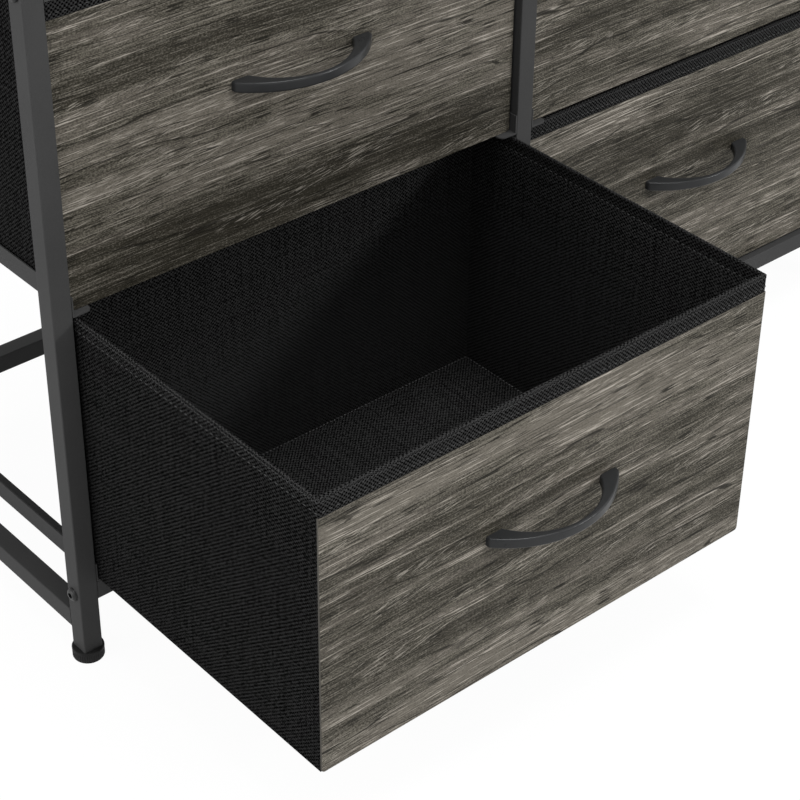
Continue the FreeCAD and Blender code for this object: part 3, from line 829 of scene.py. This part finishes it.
def stitch(size):
    """One thread float, a small faceted grain along X."""
    bm = bmesh.new()
    bmesh.ops.create_icosphere(bm, subdivisions=1, radius=0.5,
                               matrix=Matrix.Diagonal((*size, 1)))
    return bm


def thread_loop(radius, thickness):
    """One loop of thread that lies flat, a ring of a few facets."""
    bm = bmesh.new()
    section = bmesh.ops.create_circle(bm, segments=4, radius=thickness,
                                      matrix=Matrix.Translation((radius, 0, 0))
                                      @ Matrix.Rotation(math.pi / 2, 4, "X"))
    bmesh.ops.spin(bm, geom=section["verts"] + bm.edges[:], cent=(0, 0, 0), axis=(0, 0, 1),
                   angle=2 * math.pi, steps=8, use_merge=True)
    bmesh.ops.recalc_face_normals(bm, faces=bm.faces[:])
    return bm


def repeated(pattern, matrices):
    """Copies of a small mesh at many places."""
    carrier = bpy.data.meshes.new("carrier")
    pattern.to_mesh(carrier)
    pattern.free()
    bm = bmesh.new()
    for matrix in matrices:
        carrier.transform(matrix)
        bm.from_mesh(carrier)
        carrier.transform(matrix.inverted())
    bpy.data.meshes.remove(carrier)
    return bm


def heading_matrix(spot, up, heading, tilt=0.0):
    """A place on a wall: X along the wall, Z up, tilted about the wall's line."""
    return (Matrix.Translation((spot.x, spot.y, up)) @ Matrix.Rotation(heading, 4, "Z")
            @ Matrix.Rotation(tilt, 4, "X"))


def hem_threads(width, depth, height):
    """The hem's stitch line on both sides, and the loops that bind the rim's shoulder."""
    half = width / 2
    proud = HEM_PROUD + THREAD_LIFT
    outside = round_walk(half + proud, STITCH_SINK, depth + proud, BIN_CORNER, STITCH_PITCH)
    inside = round_walk(half - BIN_WALL - proud, BIN_FRONT, depth - BIN_WALL - proud,
                        INNER_CORNER, STITCH_PITCH)
    line = [heading_matrix(spot, height - STITCH_DROP + STITCH_CLIMB * spot.y / depth, heading)
            for walk in (outside, inside) for spot, heading in walk]
    shoulder = round_walk(half, LOOP_SINK, depth, BIN_CORNER, LOOP_PITCH)
    rim = [heading_matrix(spot, height - LOOP_DROP, heading, LOOP_TILT)
           for spot, heading in shoulder]
    loops = repeated(thread_loop(LOOP_RADIUS, LOOP_THREAD), rim)
    for face in loops.faces:
        face.material_index = LOOP_FINISH
    return gathered([repeated(stitch(STITCH_SIZE), line), loops])


def spun_thread(name, tone):
    """Grey sewing thread, twisted and slightly fuzzy."""
    finish = Finish(name, gloss=0.05)
    twist = finish.mottle(size=0.4)
    finish.shade(colour=finish.mix(twist, grey(tone * 0.6), grey(tone * 1.4)),
                 roughness=0.75 + twist * 0.15, normal=finish.bump(twist, depth=0.1))
    return finish


# Painted light: the inside cloth is the outside cloth painted about twice as light, lifting the
# shade inside the bins.
inner_cloth_painted_lighter = woven_cloth("bin_cloth_inside_painted_lighter", thread=0.0170, hole=0.0009, contrast=1.25,
                          painted_light=0.35)
outer_cloth = woven_cloth("bin_cloth_outside", thread=0.0092, hole=0.0004, contrast=1.2)
hem_cloth = woven_cloth("hem_cloth", thread=0.0118, hole=0.0002, contrast=1.3)
front_hem_cloth = woven_cloth("front_hem_cloth", thread=0.0145, hole=0.0001, contrast=2.2,
                              closed=0.2)
hem_thread = spun_thread("hem_thread", tone=0.058)
loop_thread = spun_thread("loop_thread", tone=0.038)
drawer_places = {}
for drawer in DRAWERS:
    low, high = node_box(f"bin_{drawer}")
    size = high - low
    place = Matrix.Translation(((low.x + high.x) / 2, low.y, low.z))
    drawer_places[drawer] = place
    shell = cloth_bin(*size)
    laid_flat(shell, "weave", WEAVE_SIDE_STRETCH)
    for face in shell.faces:
        face.material_index = cloth_of(face, size)
    shell.transform(place)
    make_piece(f"bin_{drawer}_cloth", shell, f"drawer_{drawer}",
               [inner_cloth_painted_lighter, outer_cloth, hem_cloth, front_hem_cloth], [f"bin_{drawer}"],
               flat_angle=50.0)
    threads = hem_threads(*size)
    threads.transform(place)
    make_piece(f"bin_{drawer}_stitching", threads, f"drawer_{drawer}",
               [hem_thread, loop_thread], flat_angle=80.0)

# ------------------------------------------------------------------ floor boards
# A loose fibreboard in each bin, wrapped in the same cloth and edged with a whip stitch,
# lies on the bin's floor and keeps it flat.

BOARD_EDGE = 0.7
WHIP_SIZE = (1.9, 1.3, 0.7)
WHIP_PITCH = 3.4
WHIP_INSET = 0.9
WHIP_CORNER = 1.0
# Painted light: the floor board's cloth is the bins' cloth painted about twice as light, lifting
# the shade on the bin's floor.
floor_cloth_painted_lighter = woven_cloth("floor_board_cloth_painted_lighter", thread=0.0195, hole=0.0008, contrast=1.4)
whip_thread = spun_thread("whip_thread", tone=0.10)
for drawer in DRAWERS:
    low, high = node_box(f"floor_board_{drawer}")
    wrapped = block(low, high)
    rounded(wrapped, wrapped.edges, BOARD_EDGE, steps=2)
    wrapped.transform(drawer_places[drawer].inverted())
    laid_flat(wrapped, "weave", WEAVE_SIDE_STRETCH)
    wrapped.transform(drawer_places[drawer])
    make_piece(f"floor_board_{drawer}_wrapped", wrapped, f"drawer_{drawer}",
               [floor_cloth_painted_lighter], [f"floor_board_{drawer}"])
    half = (high.x - low.x) / 2 - WHIP_INSET
    sideways = Matrix.Translation(((low.x + high.x) / 2, 0, 0))
    walk = round_walk(half, low.y + WHIP_INSET, high.y - WHIP_INSET, WHIP_CORNER, WHIP_PITCH)
    spots = [sideways @ heading_matrix(spot, high.z, heading) for spot, heading in walk]
    make_piece(f"floor_board_{drawer}_whipping", repeated(stitch(WHIP_SIZE), spots),
               f"drawer_{drawer}", [whip_thread], flat_angle=80.0)

# ------------------------------------------------------------------ front panels
# Thin fibreboards with a printed grey oak face, glued into the recess of each bin's front
# under the hem. Their sawn edges are stained dark, and their lower corners are rounded.

PRINTED, SAWN = range(2)
PANEL_CORNER = 2.5
PANEL_SOFTENING = 0.22
PRINT_START = (-110.0, -160.0)
CUT_STEP_ROW = 46.0
CUT_STEP_COLUMN = (60.0, -30.0)
PRINT_FACING = 0.8    # least share of a face's normal towards the front for it to be printed


def sawn_edge(name):
    """The sawn edge of fibreboard under a thin stain."""
    finish = Finish(name, gloss=0.2)
    fibre = finish.mottle(size=0.8, detail=3.0, rough=0.6)
    finish.shade(colour=finish.mix(fibre, (0.030, 0.028, 0.023, 1.0), (0.062, 0.057, 0.049, 1.0)),
                 roughness=0.7 + fibre * 0.15, normal=finish.bump(fibre, depth=0.08))
    return finish


def cut_start(column, row):
    """Where on the printed sheet a drawer's panel begins, so that no two look the same."""
    aside, lower = CUT_STEP_COLUMN if column == "right" else (0.0, 0.0)
    return PRINT_START[0] + aside, PRINT_START[1] + (row - 1) * CUT_STEP_ROW + lower


panel_edge = sawn_edge("panel_sawn_edge")
panel_oak = oak_print("front_panel_print")
for drawer in DRAWERS:
    low, high = node_box(f"front_panel_{drawer}")
    panel = block(low, high)
    rounded(panel, [edge for edge in panel.edges if runs_along(edge, Y)
                    and edge.verts[0].co.z < low.z + NEAR], PANEL_CORNER, steps=5)
    rounded(panel, [edge for edge in panel.edges if turns_sharply(edge)
                    and max(vert.co.y for vert in edge.verts) < low.y + NEAR],
            PANEL_SOFTENING, steps=2)
    column, row = drawer.split("_")
    laid_flat(panel, "grain", start=cut_start(column, int(row)))
    for face in panel.faces:
        face.material_index = PRINTED if abs(face.normal.y) > PRINT_FACING else SAWN
    make_piece(f"front_panel_{drawer}_printed", panel, f"drawer_{drawer}",
               [panel_oak, panel_edge], [f"front_panel_{drawer}"])

# ------------------------------------------------------------------ bow handles
# Cast metal bows in satin black: a crescent seen from above, with a flat outer arc on short
# shoulders, a rounder inner arc, and softly rounded edges. Two screws hold each one.

HANDLE_SHOULDER = 3.0
HANDLE_INNER_HALF = 42.5
HANDLE_BOW = 24.6
HANDLE_SOFTENING = 1.5
ARC_STEPS = 36


def arc_edges(bm, half, foot, reach):
    """A chain of edges on an arc through both feet that reaches forward, as a spin."""
    rise = reach - foot
    radius = (half ** 2 + rise ** 2) / (2 * rise)
    middle = Vector((0, -reach + radius, 0))
    start = bm.verts.new((half, -foot, 0))
    spread = 2 * math.asin(half / radius)
    made = bmesh.ops.spin(bm, geom=[start], cent=middle, axis=(0, 0, 1), angle=-spread,
                          steps=ARC_STEPS)
    return start, made["geom_last"][0]


def softened(edge, span):
    """Whether an edge of the bow is rounded: the sharp ones, unless they lie on the panel."""
    first = edge.verts[0].co
    shoulder = runs_along(edge, Z) and abs(first.x) > span / 2 - NEAR and first.y < -NEAR
    free = min(vert.co.y for vert in edge.verts) < -NEAR
    return shoulder or turns_sharply(edge, 40.0) and free


def bow_handle(span, reach, height):
    """A handle on the plane Y 0, with the middle of its bar at Z 0."""
    bm = bmesh.new()
    right, left = arc_edges(bm, span / 2, HANDLE_SHOULDER, reach)
    inner_right, inner_left = arc_edges(bm, HANDLE_INNER_HALF, 0.0, HANDLE_BOW)
    for end, inner, across in ((right, inner_right, span / 2), (left, inner_left, -span / 2)):
        heel = bm.verts.new((across, 0, 0))
        bm.edges.new((end, heel))
        bm.edges.new((heel, inner))
    bmesh.ops.contextual_create(bm, geom=bm.edges[:])
    bmesh.ops.translate(bm, vec=(0, 0, -height / 2), verts=bm.verts[:])
    swept = bmesh.ops.extrude_face_region(bm, geom=bm.faces[:])
    bmesh.ops.translate(bm, vec=(0, 0, height), verts=made_verts(swept))
    bmesh.ops.recalc_face_normals(bm, faces=bm.faces[:])
    rounded(bm, [edge for edge in bm.edges if softened(edge, span)], HANDLE_SOFTENING, steps=4)
    return bm


def satin_black(name):
    """Satin black lacquer on cast metal."""
    finish = Finish(name, gloss=0.17)
    cloud = finish.mottle(size=14.0, detail=3.0)
    grain = finish.mottle(size=0.5)
    finish.shade(colour=finish.mix(cloud, grey(0.016, -0.03), grey(0.023, -0.03)),
                 roughness=0.22 + cloud * 0.10 + grain * 0.05,
                 normal=finish.bump(grain, depth=0.012))
    return finish


handle_black = satin_black("handle_satin_black")
for drawer in DRAWERS:
    low, high = node_box(f"handle_{drawer}")
    handle = bow_handle(high.x - low.x, high.y - low.y, high.z - low.z)
    handle.transform(Matrix.Translation(((low.x + high.x) / 2, high.y, (low.z + high.z) / 2)))
    make_piece(f"handle_{drawer}_bow", handle, f"drawer_{drawer}", [handle_black],
               [f"handle_{drawer}"])

# ------------------------------------------------------------------ handle screws
# Zinc-plated screws with domed heads and a cross recess, two to a handle. They go in from
# inside the bin and pull the handle against the stiff front.

SCREW_RADIUS = 4.0
SCREW_HEIGHT = 2.4
SCREW_FACETS = 20
SCREW_RINGS = 12
CROSS_HALF = 0.55
CROSS_REACH = 2.1
CROSS_DEPTH = 1.1


def pan_head():
    """A domed head on the plane Z 0 with a cross recess."""
    bm = bmesh.new()
    bmesh.ops.create_uvsphere(bm, u_segments=SCREW_FACETS, v_segments=SCREW_RINGS,
                              radius=SCREW_RADIUS,
                              matrix=Matrix.Diagonal((1, 1, SCREW_HEIGHT / SCREW_RADIUS, 1)))
    bmesh.ops.bisect_plane(bm, geom=bm.verts[:] + bm.edges[:] + bm.faces[:], dist=ON_PLANE,
                           plane_co=(0, 0, 0), plane_no=(0, 0, 1), clear_inner=True)
    for axis in (X, Y):
        cut_across(bm, axis, [-CROSS_REACH, -CROSS_HALF, CROSS_HALF, CROSS_REACH])
    recess = []
    for face in bm.faces:
        middle = face.calc_center_median()
        near, far = sorted((abs(middle.x), abs(middle.y)))
        if near < CROSS_HALF and far < CROSS_REACH:
            recess.append(face)
    swept = bmesh.ops.extrude_face_region(bm, geom=recess)
    bmesh.ops.delete(bm, geom=[face for face in recess if face.is_valid], context="FACES")
    for vert in made_verts(swept):
        vert.co.z = SCREW_HEIGHT - CROSS_DEPTH
    bmesh.ops.recalc_face_normals(bm, faces=bm.faces[:])
    return bm


for drawer in DRAWERS:
    low, high = node_box(f"handle_screws_{drawer}")
    seat = node_box(f"bin_{drawer}")[0].y + BIN_FRONT
    middle = (low.z + high.z) / 2
    heads = []
    for across in (low.x + SCREW_RADIUS, high.x - SCREW_RADIUS):
        head = pan_head()
        turned = Matrix.Rotation(-math.pi / 2, 4, "X")
        head.transform(Matrix.Translation((across, seat, middle)) @ turned)
        heads.append(head)
    make_piece(f"handle_screws_{drawer}_pan", gathered(heads), f"drawer_{drawer}",
               [zinc], [f"handle_screws_{drawer}"])

# ------------------------------------------------------------------ studio
# A wide white floor under an even white surround, with soft lamps on the left, in front on
# the right and overhead. What is seen of floor and surround is nearly shadowless white.
# Lengths here are in metres.

FLOOR_SPAN = 60.0
FLOOR_WHITE = 0.86
FLOOR_GLOW = 0.96
WORLD_LIGHT = 0.93
SEEN_RAYS = ["Is Camera Ray", "Is Glossy Ray", "Is Transmission Ray"]
CAMERA_PLACE = (-0.99501, -1.02344, 1.04341)
CAMERA_HEADING = 40.85
CAMERA_PITCH = -35.2
CAMERA_ROLL = 0.62
CAMERA_LENS = 98.92
# Each lamp's name, its place, where it points, its width and its power in watts.
LAMPS = [("left_softbox", (-3.4, 0.7, 1.2), (0.0, 0.1, 0.35), 2.0, 53.0),
         ("front_softbox", (2.3, -3.0, 1.9), (0.0, 0.0, 0.35), 0.5, 75.0),
         ("top_softbox", (0.1, -0.5, 4.2), (0.0, 0.0, 0.3), 1.8, 126.0)]


def lit_and_seen(tree, end, lit, seen, share):
    """Shades a tree one way for the light that it gives and another way where it is seen.

    Seen means by the camera itself, in a mirror or through glass, for the share given.
    """
    tree.nodes.clear()
    nodes = Nodes(tree)
    direct, mirrored, through = [nodes.node("ShaderNodeLightPath", {}, {}, output=ray)
                                 for ray in SEEN_RAYS]
    is_seen = nodes.node("ShaderNodeMath", {"operation": "ADD", "use_clamp": True},
                         {0: direct + mirrored, 1: through})
    blend = nodes.node("ShaderNodeMixShader", {}, {0: is_seen * share, 1: nodes.node(*lit),
                                                   2: nodes.node(*seen)})
    nodes.feed(tree.nodes.new(end).inputs["Surface"], blend)


floor_mesh = bmesh.new()
bmesh.ops.create_grid(floor_mesh, x_segments=1, y_segments=1, size=FLOOR_SPAN / 2)
floor_data = bpy.data.meshes.new("studio_floor")
floor_mesh.to_mesh(floor_data)
floor_mesh.free()
white = bpy.data.materials.new("studio_floor")
white.use_nodes = True
lit_and_seen(white.node_tree, "ShaderNodeOutputMaterial",
             ("ShaderNodeBsdfDiffuse", {}, {"Color": grey(FLOOR_WHITE)}),
             ("ShaderNodeEmission", {}, {"Color": grey(1.0), "Strength": 1.0}), FLOOR_GLOW)
floor_data.materials.append(white)
floor = bpy.data.objects.new("studio_floor", floor_data)
bpy.context.scene.collection.objects.link(floor)

world = bpy.data.worlds.new("studio_surround")
bpy.context.scene.world = world
world.use_nodes = True
lit_and_seen(world.node_tree, "ShaderNodeOutputWorld",
             ("ShaderNodeBackground", {}, {"Color": grey(1.0), "Strength": WORLD_LIGHT}),
             ("ShaderNodeBackground", {}, {"Color": grey(1.0), "Strength": 1.0}), 1.0)

for name, place, target, size, power in LAMPS:
    lamp = bpy.data.lights.new(name, "AREA")
    lamp.size = size
    lamp.energy = power
    holder = bpy.data.objects.new(name, lamp)
    holder.location = place
    aim = Vector(target) - Vector(place)
    holder.rotation_euler = aim.to_track_quat("-Z", "Y").to_euler()
    bpy.context.scene.collection.objects.link(holder)

lens = bpy.data.cameras.new("studio_camera")
lens.lens = CAMERA_LENS
lens.clip_end = 100.0
camera = bpy.data.objects.new("studio_camera", lens)
aimed = (Matrix.Rotation(math.radians(-CAMERA_HEADING), 4, "Z")
         @ Matrix.Rotation(math.radians(90 + CAMERA_PITCH), 4, "X")
         @ Matrix.Rotation(math.radians(CAMERA_ROLL), 4, "Z"))
camera.matrix_world = Matrix.Translation(CAMERA_PLACE) @ aimed
bpy.context.scene.collection.objects.link(camera)
bpy.context.scene.camera = camera
bpy.context.scene.view_settings.view_transform = "Standard"
